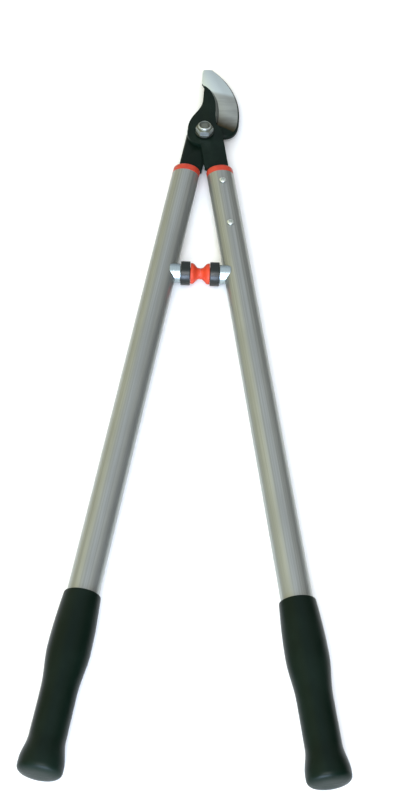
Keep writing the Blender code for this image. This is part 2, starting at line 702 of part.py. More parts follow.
def grip_ring(distance, walls, narrowing=1.0):
    """A ring of the grip: its distance, width and height."""
    width, height = ((size + 2 * wall) * narrowing for size, wall in zip(TUBE_SIZE, walls))
    return distance, width, height


def grip_stations():
    """The grip's rings: a rounded lip, swell, waist and flare, and a rounded closed end."""
    widest = GRIP_END - GRIP_END_ROUNDING
    knots = [
        (GRIP_START + GRIP_LIP, GRIP_MOUTH_WALL),
        (GRIP_START + GRIP_SWELL_DISTANCE, GRIP_SWELL_WALL),
        *((GRIP_START + distance, GRIP_WAIST_WALL) for distance in GRIP_WAIST_DISTANCES),
        (widest, GRIP_FLARE_WALL),
    ]
    stations = [grip_ring(GRIP_START, [wall - GRIP_LIP for wall in GRIP_MOUTH_WALL])]
    for (start, walls), (end, next_walls) in zip(knots, knots[1:]):
        for step in range(GRIP_STEPS):
            share = step / GRIP_STEPS
            eased = (1 - math.cos(math.pi * share)) / 2
            if walls is GRIP_MOUTH_WALL:
                eased = math.sin(math.pi * share / 2)
            between = [near + (far - near) * eased for near, far in zip(walls, next_walls)]
            stations.append(grip_ring(start + (end - start) * share, between))
    for step in range(GRIP_END_STEPS):
        angle = math.radians(END_RING_ANGLE * step / (GRIP_END_STEPS - 1))
        along = math.sin(angle) ** (2 / GRIP_END_FULLNESS)
        narrowing = math.cos(angle) ** (2 / GRIP_END_FULLNESS)
        stations.append(grip_ring(widest + GRIP_END_ROUNDING * along, GRIP_FLARE_WALL, narrowing))
    return stations


def grip():
    """The moulded grip on the lower end of a tube."""
    made = oval_solid("grip", grip_stations(), GRIP_RUBBER)
    around = [size + 2 * CLEARANCE for size in TUBE_SIZE]
    ends = (GRIP_START - CUTTER_REACH, TUBE_END + CLEARANCE)
    return cut(made, oval_solid("grip_bore", [(distance, *around) for distance in ends]))


def on_both_sides(piece, place, right_arm, left_arm):
    """Applies a piece's cuts, puts it on the right arm, and a copy turned over on the left one."""
    name = piece.name
    mesh = evaluated_mesh(piece)
    mesh.shade_smooth()
    mesh.set_sharp_from_angle(angle=math.radians(SHARP_ANGLE))
    for used in (*piece.children, piece):
        bpy.data.objects.remove(used)
    for arm, side, turn in ((right_arm, "right", Matrix()), (left_arm, "left", TURNED_OVER)):
        made = bpy.data.objects.new(f"{side}_{name}", mesh)
        made.parent = arm
        made.matrix_local = turn @ place
        PARTS.objects.link(made)


def stand_on_origin(root):
    """Moves the tool so that the middle of its footprint is the origin."""
    points = []
    for obj in PARTS.objects:
        if obj.type == "MESH":
            mesh = evaluated_mesh(obj)
            points += [obj.matrix_world @ vertex.co for vertex in mesh.vertices]
            bpy.data.meshes.remove(mesh)
    low = [min(point[axis] for point in points) for axis in range(3)]
    high = [max(point[axis] for point in points) for axis in range(3)]
    root.location = (-(low[0] + high[0]) / 2, -(low[1] + high[1]) / 2, -low[2])


def build():
    pivot = empty("pivot")
    right_arm = empty("right_arm", pivot)
    left_arm = empty("left_arm", pivot)
    for piece in (cutting_blade(), pivot_bush()):
        piece.parent = right_arm
    for piece in (
        counter_blade(),
        pivot_bolt(),
        pivot_nut(),
        washer("pivot_washer_front", BLADE_TOP + CLEARANCE),
        washer("pivot_washer_back", BOLT_SEAT + CLEARANCE),
    ):
        piece.parent = left_arm
    for piece in (tube(), collar(), grip()):
        on_both_sides(piece, ALONG_HANDLE, right_arm, left_arm)
    for number, distance in enumerate(TANG_SCREWS, 1):
        place = ALONG_HANDLE @ tang_screw_place(distance)
        on_both_sides(tang_screw(number), place, right_arm, left_arm)
    for piece in (bumper_tip(), bumper_holder(), bumper_seat(), bumper_screw(), bumper_nut()):
        on_both_sides(piece, ON_BUMPER, right_arm, left_arm)
    stand_on_origin(pivot)


build()
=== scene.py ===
"""Looks of the bypass lopper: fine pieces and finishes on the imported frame, in metres, +Z up.

Laid out as an add-on: one operator for each group of like pieces and one for the stage, sizes and
colours as properties, and a panel that lists them. Turned pieces are drawn along Z at the world's
middle and then put in their place.
"""

import json
import math

import bmesh
import bpy
from bpy.props import FloatProperty, FloatVectorProperty, IntProperty, PointerProperty
from mathutils import Matrix, Vector


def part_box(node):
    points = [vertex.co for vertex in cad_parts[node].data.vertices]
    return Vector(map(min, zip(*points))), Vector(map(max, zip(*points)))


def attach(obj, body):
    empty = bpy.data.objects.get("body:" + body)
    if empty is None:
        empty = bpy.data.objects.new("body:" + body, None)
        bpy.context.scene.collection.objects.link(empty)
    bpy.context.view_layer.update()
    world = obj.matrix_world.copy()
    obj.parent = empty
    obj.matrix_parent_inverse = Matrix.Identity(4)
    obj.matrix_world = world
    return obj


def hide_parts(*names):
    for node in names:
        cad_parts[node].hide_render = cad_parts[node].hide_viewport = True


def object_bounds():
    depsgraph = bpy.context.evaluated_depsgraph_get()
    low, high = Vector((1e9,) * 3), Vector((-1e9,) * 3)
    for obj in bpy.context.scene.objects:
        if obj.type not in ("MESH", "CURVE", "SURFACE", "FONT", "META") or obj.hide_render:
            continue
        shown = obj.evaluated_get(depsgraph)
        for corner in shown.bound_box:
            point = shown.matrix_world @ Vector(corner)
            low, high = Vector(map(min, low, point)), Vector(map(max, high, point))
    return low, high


bl_info = {
    "name": "Bypass Lopper",
    "version": (1, 0, 0),
    "blender": (4, 5, 0),
    "location": "View3D > Sidebar > Lopper",
    "description": "Builds the pieces and finishes of a long-handled bypass lopper",
    "category": "Object",
}

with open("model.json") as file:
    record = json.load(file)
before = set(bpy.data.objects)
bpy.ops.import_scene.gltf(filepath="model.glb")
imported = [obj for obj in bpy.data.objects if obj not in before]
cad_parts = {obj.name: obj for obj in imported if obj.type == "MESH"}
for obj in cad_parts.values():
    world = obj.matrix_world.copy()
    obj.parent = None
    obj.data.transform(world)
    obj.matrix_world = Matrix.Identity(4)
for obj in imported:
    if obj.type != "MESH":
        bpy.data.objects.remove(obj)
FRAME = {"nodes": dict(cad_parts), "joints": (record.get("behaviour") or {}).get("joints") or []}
CAD_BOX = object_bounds()

CLEARANCE = 0.0003  # gap between pieces that seat on each other
PAST = 0.001  # how far a cutting shape reaches past what it cuts
MERGE = 0.000002  # points that lie closer become one
SMOOTH_ANGLE = math.radians(32)
SHARP_ANGLE = math.radians(30)
FLAT_ANGLE = math.radians(0.5)  # faces that turn less become one
LONGEST_EASING = 0.45  # of a side, so that two rounded corners never meet

# Blade: its grind, by how far the faces look to the front and how far above the pivot it begins
GRIND_SLANT = (0.25, 0.95)
GRIND_START = 0.012
GRIND_SMALLEST_FACE = 0.000001  # square metres: smaller ones belong to the rounding

# Hook: its ground face, in distances from the pivot
GROUND_NORMAL = (0.5, 0.866, 0)  # square to the line where the coating ends
GROUND_START = (0.0243, 0.0268)
GROUND_WAVER = 0.003
# The ground steel is browner and darker near the line where it begins, fading out by the second distance
RUN_OUT_BROWN_REACH = (0.024, 0.05)
LIP_SIDE = (0.002, 0.006)
LIP_LEAN = 0.6  # the lip leans over, and counts as facing the front by this much more
FRONT_FACING = (0.80, 0.97)
NOSE_NORMAL = (0.26, 1, 0)
NOSE_START = (0.0715, 0.0785)

# Pivot
PIVOT_RADIUS = 0.005
HEX_HEIGHT = 0.0065
HEX_TURN = math.radians(30)  # puts two of a hexagon's corners on X
HEX_CHAMFER = math.radians(30)
HEX_FACE = 0.94  # of the width across the flats
NUT_COLLAR_RADIUS = 0.0069
NUT_RIM_HEIGHT = 0.0006
NUT_RIM_WIDTH = 0.0005
NUT_HIGHLIGHT_FACING = 0.7  # the faces that look up or down by less are its sides, painted brighter as a painted highlight
INSERT_RADIUS = 0.0060
INSERT_RECESS = 0.0016
INSERT_HEIGHT = 0.0011
INSERT_DROP = 0.0004  # from the nut's rim down to the insert
INSERT_PLAY = 0.0001
INSERT_ROUNDING = 0.0002
THREAD_DEPTH = 0.0006
THREAD_CREST_DROP = 0.0001
BOLT_END_INSET = 0.0002

# Handles
TUBE_WALL = 0.0015
COLLAR_HEIGHT = 0.0095
COLLAR_ROUNDING = 0.003
COLLAR_STEPS = 8
TANG_WIDTH = 0.016
SCREW_HEAD_RADIUS = 0.00375
SCREW_SHANK_RADIUS = 0.00225
SCREW_HEAD_HEIGHT = 0.0022
SCREW_RIM = 0.4  # of the head's height, below its dome
SCREW_DOME_FLATNESS = 0.7
SCREW_DOME_STEPS = 8
SCREW_LAST_ANGLE = 88  # just short of 90, so that the last ring keeps a width
SCREW_TURN = 20  # degrees from one screw's recess to the next
RECESS_REACH = 0.55  # of the head's radius

# Bumpers
TIP_GAP = 0.00005  # from the middle to each tip's face: the two tips all but touch at rest
TIP_FACE_DIAMETER = 0.0118
TIP_NOSE_LENGTH = 0.0014  # straight, before the tip's flank swings out
TIP_FOOT_LENGTH = 0.0018  # straight, at the holder
TIP_STEPS = 12
BORE_DIAMETER = 0.013  # of the holder, round the tip's plug
HOLDER_FLOOR = 0.003
BUMPER_SCREW_RADIUS = 0.0025
SADDLE_REACH = 0.04  # along the tube, to each side of the seat's middle

# Grip: how far it stands out from the tube at its sides and at its front and back
GRIP_MOUTH_WALL = (0.0023, 0.0023)
GRIP_SWELL_WALL = (0.0049, 0.0052)
GRIP_WAIST_WALL = (0.0015, 0.0028)
GRIP_FLARE_WALL = (0.0053, 0.0060)
GRIP_SWELL_DISTANCE = 0.056  # from the grip's mouth
GRIP_WAIST_DISTANCES = (0.099, 0.143)
GRIP_STEPS = 12
GRIP_LIP_REACH = 0.006  # into the bore
GRIP_LIP_STEPS = 6
GRIP_END_ROUNDING = 0.010
GRIP_END_FULLNESS = 4.0  # 2 gives an ellipse, more a squarer end
GRIP_END_STEPS = 16
GRIP_LAST_ANGLE = 89.6
PARTING_LINE = (0.0001, 0.0004)  # its ridge and its foot, from the grip's middle plane
PARTING_HEIGHT = 0.00015

# Patterns of the finishes. The real ones are finer: these are drawn as coarse as they need to show
COATING_GRAIN = 0.0006
CRYSTAL_SIZE = 0.0014
TURNING_PITCH = 0.0004
PORE_SIZE = 0.0004
PLASTIC_GRAIN = 0.0007

# Finishes: noise lies in SPREAD, and the part of it in PATCHES shows as patches of another tone
SPREAD = (0.3, 0.7)
PATCHES = (0.35, 0.7)
EASING = {"interpolation_type": "SMOOTHSTEP"}
OF_COLOURS = {"data_type": "RGBA"}
SHARE, FIRST, SECOND, MIXED = 0, 6, 7, 2  # a colour mix's inputs and its output, by number

# Stage, with the camera worked out from the photograph's two straight tubes
FLOOR_SIZE = 12
CAMERA_STAND = (-0.006455, -1.342432, 1.296520)  # from the pivot
CAMERA_TURNS = ((-0.019920, "Z"), (0.641545, "X"), (0.049785, "Z"))
CAMERA_LENS = 72.94
CAMERA_SENSOR = 36


def middle(node):
    low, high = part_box(node)
    return (low + high) / 2


PIVOT = Vector(FRAME["joints"][0]["pos_m"])
SCREWS = [middle(f"right_tang_screw_{number}") for number in (1, 2)]
DOWN_HANDLE = (SCREWS[1] - SCREWS[0]).normalized()
HANDLE_ANGLE = math.atan2(DOWN_HANDLE.x, -DOWN_HANDLE.y)
ACROSS_HANDLE = Vector((math.cos(HANDLE_ANGLE), math.sin(HANDLE_ANGLE), 0))
AXIS_OFFSET = (SCREWS[0] - PIVOT).dot(ACROSS_HANDLE)
AT_PIVOT = Matrix.Translation(PIVOT)
ALONG_HANDLE = AT_PIVOT @ Matrix.Rotation(HANDLE_ANGLE, 4, "Z") @ Matrix.Translation((AXIS_OFFSET, 0, 0))
ON_HANDLE = ALONG_HANDLE @ Matrix.Rotation(math.pi / 2, 4, "X")  # Z runs down the handle from the pivot
TURNED_OVER = AT_PIVOT @ Matrix.Rotation(math.pi, 4, "Y") @ AT_PIVOT.inverted()
BUMPER_MIDDLE = Vector((PIVOT.x, middle("right_bumper_tip").y, PIVOT.z))
ON_BUMPER = Matrix.Translation(BUMPER_MIDDLE) @ Matrix.Rotation(math.pi / 2, 4, "Y")


def span(node, place):
    """Lowest and highest corner of a CAD node, seen from a place."""
    inverse = place.inverted()
    points = [inverse @ vertex.co for vertex in FRAME["nodes"][node].data.vertices]
    low = Vector([min(point[axis] for point in points) for axis in range(3)])
    high = Vector([max(point[axis] for point in points) for axis in range(3)])
    return low, high


def linear(code):
    """An sRGB hex colour as linear RGBA."""
    parts = [int(code[start : start + 2], 16) / 255 for start in (1, 3, 5)]
    return (*(p / 12.92 if p <= 0.04045 else ((p + 0.055) / 1.055) ** 2.4 for p in parts), 1.0)


def colour(name, description, code):
    """A colour property with an sRGB hex default."""
    return FloatVectorProperty(
        name=name, description=description, subtype="COLOR", size=4, min=0, max=1, default=linear(code)
    )


def length(name, description, default):
    """A length property in metres."""
    return FloatProperty(name=name, description=description, default=default, min=0, unit="LENGTH")


class LopperSizes(bpy.types.PropertyGroup):
    edge_rounding: length("Edge rounding", "Rounding of forged and machined edges", 0.0004)
    moulded_rounding: length("Moulded rounding", "Rounding of the plastic pieces' edges", 0.0008)
    grip_lip: length("Grip lip", "Rounding of the grip's mouth", 0.0011)
    # The grain, the grinding lines and the die lines are coarser than real, so that they show
    grip_grain: length("Grip grain", "Size of the moulded grain on the grips", 0.0011)
    grip_grain_depth: length("Grip grain depth", "Depth of that grain", 0.00005)
    grinding_pitch: length("Grinding pitch", "Distance between the grinding lines", 0.0007)
    die_pitch: length("Die line pitch", "Distance between the die lines round the tubes", 0.0018)
    thread_pitch: length("Thread pitch", "Pitch of the pivot bolt's thread", 0.00125)
    recess_width: length("Recess width", "Width of the cross recess in the tang screws", 0.0010)
    recess_depth: length("Recess depth", "Depth of that recess", 0.0011)
    round_sides: IntProperty(name="Round sides", description="Sides of round pieces", default=96, min=24)
    oval_sides: IntProperty(name="Oval sides", description="Sides of oval pieces", default=96, min=24)


class LopperColours(bpy.types.PropertyGroup):
    coating: colour("Blade coating", "Low-friction coating on the blade and the palms", "#091510")
    ground_steel: colour("Ground steel", "The hook's ground face", "#A5A9A3")
    # Painted highlight: the hook's nose is painted paler than the rest of the ground face
    nose_painted_highlight: colour("Ground nose", "The hook's finely ground nose", "#CBD5D1")
    # The ground steel's browner, darker tone next to the coating line
    run_out_brown: colour("Heat tint", "Brown cast where the ground face runs out", "#38301D")
    edge_steel: colour("Edge steel", "The cutting edge's grind", "#8B918E")
    zinc: colour("Zinc plate", "Top of the nut and the bolt's end", "#72766C")
    # Washers drawn in a darker steel than the zinc
    washer: colour("Washer steel", "Blackened washers", "#4B4F4A")
    # The tang screws' zinc, and a painted highlight on the nut's sides
    screw: colour("Screw steel", "Bright faces of nut and screws", "#CDD3CE")
    nylon: colour("Nylon insert", "Locking ring inside the nut", "#565B54")
    bronze: colour("Bronze", "Pivot bush", "#9A7240")
    chrome: colour("Chrome", "Seats of the bumpers", "#A1AEAF")
    anodised: colour("Anodised aluminium", "The tubes", "#949793")
    collar_red: colour("Collar red", "Moulded collars", "#B33B27")
    bumper_red: colour("Bumper red", "Rubber tips", "#BF3B1F")
    holder_black: colour("Holder black", "Cups that hold the rubber tips", "#0B1310")
    grip_black: colour("Grip black", "Moulded grips", "#05110B")
    floor: colour("Floor", "Plain pale floor", "#FAFAF9")


# Making pieces


def only(piece):
    """Selects one piece and nothing else."""
    bpy.ops.object.select_all(action="DESELECT")
    piece.select_set(True)
    bpy.context.view_layer.objects.active = piece


def drawn_through(name, rings, sides, ends="capped", turn=0.0):
    """A skin through oval rings, given as height and two radii: a circle that is extruded and scaled.

    Its ends are capped, joined, where the last ring is the first one again, or open.
    """
    bpy.ops.object.select_all(action="DESELECT")
    fill = "NGON" if ends == "capped" else "NOTHING"
    bpy.ops.mesh.primitive_circle_add(vertices=sides, radius=1, fill_type=fill)
    piece = bpy.context.object
    piece.name = piece.data.name = name
    bpy.ops.object.mode_set(mode="EDIT")
    bpy.ops.mesh.select_all(action="SELECT")
    bpy.ops.transform.rotate(value=turn, orient_axis="Z", center_override=(0, 0, 0))
    at, width, depth = rings[0]
    bpy.ops.transform.resize(value=(width, depth, 1), center_override=(0, 0, 0))
    bpy.ops.transform.translate(value=(0, 0, at))
    for next_at, next_width, next_depth in rings[1:]:
        bpy.ops.mesh.extrude_region_move(TRANSFORM_OT_translate={"value": (0, 0, next_at - at)})
        scale = (next_width / width, next_depth / depth, 1)
        bpy.ops.transform.resize(value=scale, center_override=(0, 0, next_at))
        at, width, depth = next_at, next_width, next_depth
    bpy.ops.mesh.select_all(action="SELECT")
    if ends == "joined":
        bpy.ops.mesh.remove_doubles(threshold=MERGE)
    bpy.ops.mesh.normals_make_consistent(inside=False)
    bpy.ops.object.mode_set(mode="OBJECT")
    return piece


def round_rings(profile):
    """Rings of a round piece, from a profile of heights and radii."""
    return [(height, radius, radius) for height, radius in profile]


def eased(rings, rounding, steps=4):
    """The rings with each corner of their profile rounded by a short curve."""
    points = [Vector(ring) for ring in rings]
    rounded = [points[0]]
    for before, corner, after in zip(points, points[1:], points[2:]):
        back, on = before - corner, after - corner
        start = corner + back.normalized() * min(rounding, back.length * LONGEST_EASING)
        end = corner + on.normalized() * min(rounding, on.length * LONGEST_EASING)
        for step in range(steps + 1):
            share = step / steps
            rounded.append(start.lerp(corner, share).lerp(corner.lerp(end, share), share))
    return [*rounded, points[-1]]


def block(name, low, high):
    """A box between two corners."""
    low, high = Vector(low), Vector(high)
    bpy.ops.object.select_all(action="DESELECT")
    bpy.ops.mesh.primitive_cube_add(size=1, location=(low + high) / 2, scale=high - low)
    bpy.ops.object.transform_apply(location=True, rotation=True, scale=True)
    bpy.context.object.name = name
    return bpy.context.object


def combine(piece, other, operation):
    """Joins the other shape to the piece or takes it away, and removes it."""
    only(piece)
    step = piece.modifiers.new(other.name, "BOOLEAN")
    step.operation = operation
    step.solver = "EXACT"
    step.object = other
    bpy.ops.object.modifier_apply(modifier=step.name)
    bpy.data.objects.remove(other)
    return piece


def pick_edges(test):
    """Selects the edges of the piece in edit mode that pass a test."""
    bpy.ops.mesh.select_mode(type="EDGE")
    bpy.ops.mesh.select_all(action="DESELECT")
    shape = bmesh.from_edit_mesh(bpy.context.object.data)
    for edge in shape.edges:
        edge.select_set(test(edge))
    shape.select_flush_mode()
    bmesh.update_edit_mesh(bpy.context.object.data)


def settle(piece, place, finish):
    """Notes where each point was made, puts the piece in its place, smooths it and gives it its finish."""
    made_at = piece.data.attributes.new("made_at", "FLOAT_VECTOR", "POINT")
    made_at.data.foreach_set("vector", [value for vertex in piece.data.vertices for value in vertex.co])
    only(piece)
    piece.matrix_world = place
    bpy.ops.object.transform_apply(location=True, rotation=True, scale=True)
    bpy.ops.object.shade_smooth_by_angle(angle=SMOOTH_ANGLE)
    piece.data.materials.clear()
    piece.data.materials.append(finish)
    return piece


def stand_for(piece, body, node):
    """Rides the piece on its body in place of a CAD node."""
    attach(piece, body)
    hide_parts(node)


def on_both_handles(piece, label, node):
    """The piece goes on the right handle, and a copy of it, turned over, on the left one."""
    only(piece)
    bpy.ops.object.duplicate()
    turned = bpy.context.object
    turned.matrix_world = TURNED_OVER
    bpy.ops.object.transform_apply(location=True, rotation=True, scale=True)
    for made, side in ((piece, "right"), (turned, "left")):
        made.name = made.data.name = f"{label}_{side}"
        stand_for(made, f"{side}_arm", f"{side}_{node}")


def clean_copy(node, name):
    """A copy of a CAD node whose loose triangles are merged into whole faces, left in edit mode."""
    bpy.ops.object.select_all(action="DESELECT")
    piece = bpy.data.objects.new(name, FRAME["nodes"][node].data.copy())
    bpy.context.scene.collection.objects.link(piece)
    only(piece)
    bpy.ops.mesh.customdata_custom_splitnormals_clear()
    bpy.ops.object.mode_set(mode="EDIT")
    bpy.ops.mesh.select_all(action="SELECT")
    bpy.ops.mesh.remove_doubles(threshold=MERGE)
    bpy.ops.mesh.dissolve_limited(angle_limit=FLAT_ANGLE)
    return piece


# Finishes


def wire(tree, node, inputs):
    """Fills or links a node's inputs, which are given by name or in the node's own order."""
    named = inputs if isinstance(inputs, dict) else dict(enumerate(inputs))
    for name, value in named.items():
        if isinstance(value, bpy.types.NodeSocket):
            tree.links.new(value, node.inputs[name])
        else:
            node.inputs[name].default_value = value


def add(tree, kind, inputs, output=0, **settings):
    """Adds a node with its settings and inputs, and gives one of its outputs."""
    node = tree.nodes.new(kind)
    for name, value in settings.items():
        setattr(node, name, value)
    wire(tree, node, inputs)
    return node.outputs[output]


def start_finish(name, inputs):
    """A material with its shader's own inputs set."""
    finish = bpy.data.materials.new(name)
    finish.use_nodes = True
    tree = finish.node_tree
    shader = tree.nodes["Principled BSDF"]
    wire(tree, shader, inputs)
    return finish, tree, shader


def stretched_noise(tree, source, sizes, detail=3.0):
    """Noise whose grain has the given size in metres along each axis."""
    scale = [1 / size for size in sizes]
    placed = add(tree, "ShaderNodeMapping", {"Vector": source, "Scale": scale})
    inputs = {"Vector": placed, "Scale": 1.0, "Detail": detail, "Roughness": 0.6}
    return add(tree, "ShaderNodeTexNoise", inputs)


def graded(tree, value, spread, shares, tone, other):
    """A tone that takes on a share of another one while a value passes through its spread."""
    share = add(tree, "ShaderNodeMapRange", (value, *spread, *shares), **EASING)
    return add(tree, "ShaderNodeMix", {SHARE: share, FIRST: tone, SECOND: other}, MIXED, **OF_COLOURS)


def shade(tone, factor, lift=0.0):
    """The tone made darker or paler by a factor, and lifted a little from black."""
    return (*(value * factor + lift for value in tone[:3]), 1.0)


def coated_steel(context):
    """Forged steel under a dry black low-friction coating: dark, satin, slightly uneven."""
    tone = context.scene.lopper_colours.coating
    finish, tree, shader = start_finish("black_low_friction_coating", {"Specular IOR Level": 0.08})
    source = add(tree, "ShaderNodeTexCoord", {}, "Object")
    clouds = stretched_noise(tree, source, (0.012, 0.012, 0.012), 4.0)
    grain = stretched_noise(tree, source, (COATING_GRAIN, COATING_GRAIN, COATING_GRAIN), 2.0)
    wire(tree, shader, {
        "Base Color": graded(tree, clouds, PATCHES, (0.0, 1.0), tone, shade(tone, 1.4, 0.001)),
        "Roughness": add(tree, "ShaderNodeMapRange", (clouds, *SPREAD, 0.34, 0.48), **EASING),
        "Normal": add(tree, "ShaderNodeBump", {"Height": grain, "Distance": 0.00002}),
    })
    return finish


def ground_hook(context):
    """Forged steel, ground bright on the front face of the jaw and coated black everywhere else."""
    colours, sizes = context.scene.lopper_colours, context.scene.lopper_sizes
    finish, tree, shader = start_finish("ground_and_coated_forging", {"Specular IOR Level": 0.08})
    source = add(tree, "ShaderNodeTexCoord", {}, "Object")
    from_pivot = add(tree, "ShaderNodeMapping", {"Vector": source, "Location": -PIVOT})

    # Ground: what lies beyond a slightly wavering line and faces the front, and the leaning lip
    along = add(tree, "ShaderNodeVectorMath", (from_pivot, GROUND_NORMAL), "Value", operation="DOT_PRODUCT")
    waver = stretched_noise(tree, source, (0.006, 0.006, 0.006), 2.0)
    edge = add(tree, "ShaderNodeMath", (waver, GROUND_WAVER, along), operation="MULTIPLY_ADD")
    zone = add(tree, "ShaderNodeMapRange", (edge, *GROUND_START, 0.0, 1.0), **EASING)
    normal = add(tree, "ShaderNodeNewGeometry", {}, "Normal")
    facing = add(tree, "ShaderNodeSeparateXYZ", {"Vector": normal}, "Z")
    sideways = add(tree, "ShaderNodeSeparateXYZ", {"Vector": from_pivot}, "X")
    lip = add(tree, "ShaderNodeMapRange", (sideways, *LIP_SIDE, LIP_LEAN, 0.0), **EASING)
    leaning = add(tree, "ShaderNodeMath", (facing, lip), operation="ADD")
    flat = add(tree, "ShaderNodeMapRange", (leaning, *FRONT_FACING, 0.0, 1.0), **EASING)
    ground = add(tree, "ShaderNodeMath", (zone, flat), operation="MULTIPLY")

    # Steel: dull bands, browner and darker towards where the ground face runs out, and a smoother nose
    # painted paler as a painted highlight
    upward = add(tree, "ShaderNodeVectorMath", (from_pivot, NOSE_NORMAL), "Value", operation="DOT_PRODUCT")
    nose = add(tree, "ShaderNodeMapRange", (upward, *NOSE_START, 0.0, 1.0), **EASING)
    bands = stretched_noise(tree, source, (0.02, 0.0035, 0.01), 2.0)
    dull = shade(colours.ground_steel, 0.6)
    steel = graded(tree, bands, PATCHES, (0.0, 0.4), colours.ground_steel, dull)
    steel = graded(tree, edge, RUN_OUT_BROWN_REACH, (1.0, 0.0), steel, colours.run_out_brown)
    # Painted highlight: the nose takes the paler steel
    nose_highlight_mix = {SHARE: nose, FIRST: steel, SECOND: colours.nose_painted_highlight}
    steel = add(tree, "ShaderNodeMix", nose_highlight_mix, MIXED, **OF_COLOURS)
    lines = stretched_noise(tree, source, (0.03, sizes.grinding_pitch, 0.01))
    polish = add(tree, "ShaderNodeMath", (nose, -0.08, 0.36), operation="MULTIPLY_ADD")
    worn = add(tree, "ShaderNodeMath", (lines, 0.14, polish), operation="MULTIPLY_ADD")
    mixed = {SHARE: ground, FIRST: colours.coating, SECOND: steel}
    wire(tree, shader, {
        "Base Color": add(tree, "ShaderNodeMix", mixed, MIXED, **OF_COLOURS),
        "Metallic": ground,
        "Roughness": add(tree, "ShaderNodeMix", {"Factor": ground, "A": 0.42, "B": worn}),
        "Normal": add(tree, "ShaderNodeBump", {"Height": lines, "Distance": 0.000012}),
    })
    return finish


def ground_edge(context):
    """Hardened steel, ground across the cutting edge: a satin band with fine lines."""
    tone = context.scene.lopper_colours.edge_steel
    finish, tree, shader = start_finish("ground_cutting_edge", {"Metallic": 1.0})
    source = add(tree, "ShaderNodeTexCoord", {}, "Object")
    lines = stretched_noise(tree, source, (0.012, context.scene.lopper_sizes.grinding_pitch, 0.01))
    wire(tree, shader, {
        "Base Color": graded(tree, lines, SPREAD, (0.6, 0.0), tone, shade(tone, 0.6)),
        "Roughness": add(tree, "ShaderNodeMapRange", (lines, *SPREAD, 0.3, 0.42), **EASING),
        "Normal": add(tree, "ShaderNodeBump", {"Height": lines, "Distance": 0.00001}),
    })
    return finish


def plated_steel(name, tone, roughness, play=0.08):
    """Steel with zinc plating: softly mottled by its crystals."""
    finish, tree, shader = start_finish(name, {"Metallic": 1.0})
    source = add(tree, "ShaderNodeTexCoord", {}, "Object")
    inputs = {"Vector": source, "Scale": 1 / CRYSTAL_SIZE}
    crystals = add(tree, "ShaderNodeTexVoronoi", inputs, distance="MANHATTAN")
    mottle = stretched_noise(tree, source, (0.004, 0.004, 0.004))
    rough = (crystals, 0.0, 0.8, roughness - play, roughness + play)
    wire(tree, shader, {
        "Base Color": graded(tree, mottle, PATCHES, (0.0, 0.7), tone, shade(tone, 0.7)),
        "Roughness": add(tree, "ShaderNodeMapRange", rough, **EASING),
        "Normal": add(tree, "ShaderNodeBump", {"Height": mottle, "Distance": 0.00001}),
    })
    return finish


def bright_chrome(context):
    """Polished plating with faint turning marks round the axis."""
    finish, tree, shader = start_finish("bright_plated_seat", {"Metallic": 1.0})
    source = add(tree, "ShaderNodeAttribute", {}, "Vector", attribute_name="made_at")
    marks = stretched_noise(tree, source, (0.02, 0.02, TURNING_PITCH), 2.0)
    wire(tree, shader, {
        "Base Color": context.scene.lopper_colours.chrome,
        "Roughness": add(tree, "ShaderNodeMapRange", (marks, *SPREAD, 0.26, 0.38), **EASING),
        "Normal": add(tree, "ShaderNodeBump", {"Height": marks, "Distance": 0.000008}),
    })
    return finish


def sintered_bronze(context):
    """Oil-filled sintered bronze: matt, with fine pores."""
    tone = context.scene.lopper_colours.bronze
    finish, tree, shader = start_finish("sintered_bronze", {"Metallic": 1.0})
    source = add(tree, "ShaderNodeTexCoord", {}, "Object")
    pores = stretched_noise(tree, source, (PORE_SIZE, PORE_SIZE, PORE_SIZE), 2.0)
    wire(tree, shader, {
        "Base Color": graded(tree, pores, (0.55, 0.7), (0.0, 1.0), tone, shade(tone, 0.5)),
        "Roughness": add(tree, "ShaderNodeMapRange", (pores, *SPREAD, 0.35, 0.55), **EASING),
        "Normal": add(tree, "ShaderNodeBump", {"Height": pores, "Distance": 0.00003}),
    })
    return finish


def anodised_tube(context):
    """Extruded aluminium, satin anodised: die lines under a pale, matt skin that scatters some light."""
    tone, pitch = context.scene.lopper_colours.anodised, context.scene.lopper_sizes.die_pitch
    finish, tree, shader = start_finish("satin_anodised_aluminium", {"Metallic": 0.72})
    source = add(tree, "ShaderNodeAttribute", {}, "Vector", attribute_name="made_at")
    lines = stretched_noise(tree, source, (pitch, pitch, 0.4))
    clouds = stretched_noise(tree, source, (0.02, 0.02, 0.09))
    dark = shade(tone, 0.76)
    clouded = graded(tree, clouds, PATCHES, (0.0, 0.5), tone, dark)
    wire(tree, shader, {
        "Base Color": graded(tree, lines, (0.4, 0.65), (0.0, 0.9), clouded, dark),
        "Roughness": add(tree, "ShaderNodeMapRange", (lines, *SPREAD, 0.3, 0.42), **EASING),
        "Normal": add(tree, "ShaderNodeBump", {"Height": lines, "Distance": 0.00004}),
    })
    return finish


def moulded_plastic(name, tone, roughness, grain_depth, gloss=0.25, play=0.06):
    """Injection-moulded plastic with a fine eroded grain and slight flow marks."""
    finish, tree, shader = start_finish(name, {"Specular IOR Level": gloss})
    source = add(tree, "ShaderNodeAttribute", {}, "Vector", attribute_name="made_at")
    grain = stretched_noise(tree, source, (PLASTIC_GRAIN, PLASTIC_GRAIN, PLASTIC_GRAIN), 2.0)
    flow = stretched_noise(tree, source, (0.01, 0.01, 0.01), 2.0)
    rough = (flow, *SPREAD, roughness - play, roughness + play)
    wire(tree, shader, {
        "Base Color": graded(tree, flow, PATCHES, (0.0, 1.0), tone, shade(tone, 0.78)),
        "Roughness": add(tree, "ShaderNodeMapRange", rough, **EASING),
        "Normal": add(tree, "ShaderNodeBump", {"Height": grain, "Distance": grain_depth}),
    })
    return finish


